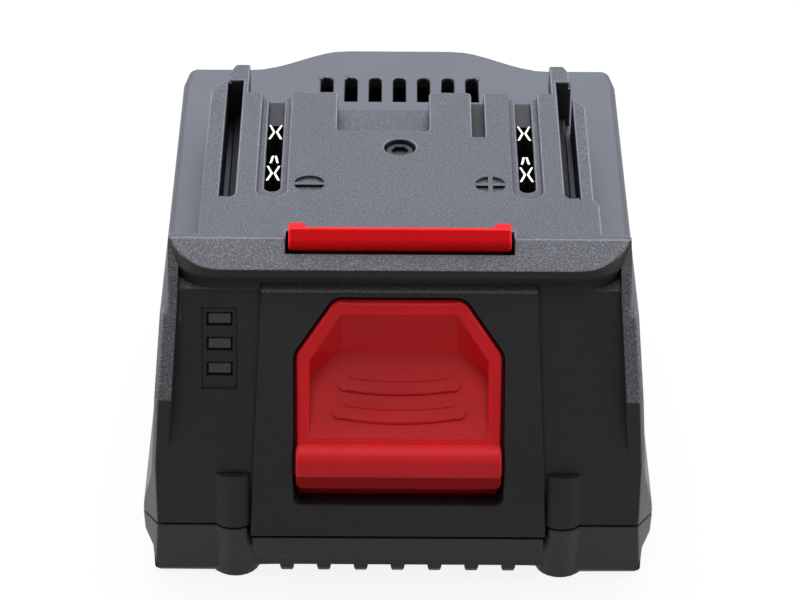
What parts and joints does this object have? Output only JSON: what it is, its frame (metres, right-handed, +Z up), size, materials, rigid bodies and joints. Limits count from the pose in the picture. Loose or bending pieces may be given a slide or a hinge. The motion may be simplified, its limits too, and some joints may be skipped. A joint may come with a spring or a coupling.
{
  "type": "power tool battery pack",
  "caption": "Slide-on battery pack for a cordless tool: two-part case over round cells, a deck with slide rails and terminal slots, a sprung red release latch and a charge gauge.",
  "frame": {"origin": "on the table below the middle of the pack's box", "axes": "+X to the right seen from the latch, +Y from the latch to the vents, +Z up to the deck"},
  "size_m": [0.0762, 0.0874, 0.054],
  "materials": {
    "case_plastic": "fine-grained moulded plastic",
    "lower_plastic": "fine-grained moulded plastic",
    "latch_plastic": "satin moulded plastic",
    "frame_plastic": "moulded plastic",
    "cell_wrap": "shrink wrap over a steel can",
    "nickel": "nickel strip",
    "board": "circuit board with solder mask",
    "chips": "moulded component cases",
    "contact": "tinned spring bronze",
    "light": "clear light bodies",
    "lens": "frosted clear plastic",
    "spring_steel": "drawn wire",
    "screw_steel": "blackened"
  },
  "bodies": {
    "case": {"lower_case": "lower_plastic", "upper_case": "case_plastic", "cell_holder_left": "frame_plastic", "cell_holder_right": "frame_plastic", "cell_1": "cell_wrap", "cell_2": "cell_wrap", "cell_3": "cell_wrap", "cell_4": "cell_wrap", "cell_5": "cell_wrap", "links_left": "nickel", "links_right": "nickel", "strap_plus": "nickel", "strap_minus": "nickel", "main_board": "board", "board_parts": "chips", "contact_carrier": "frame_plastic", "contact_plus": "contact", "contact_minus": "contact", "gauge_board": "board", "gauge_lights": "light", "gauge_lens": "lens", "latch_spring_left": "spring_steel", "latch_spring_right": "spring_steel", "case_screws": "screw_steel", "deck_screw": "screw_steel"},
    "latch": {"release_latch": "latch_plastic"}
  },
  "joints": [
    {"name": "latch_slide", "type": "slide", "parent": "case", "child": "latch", "axis": [0, 0, -1], "range_m": [0, 0.0026], "stiffness_N_per_m": 1500, "springref_m": -0.004, "deforming": ["latch_spring_left", "latch_spring_right"]}
  ]
}
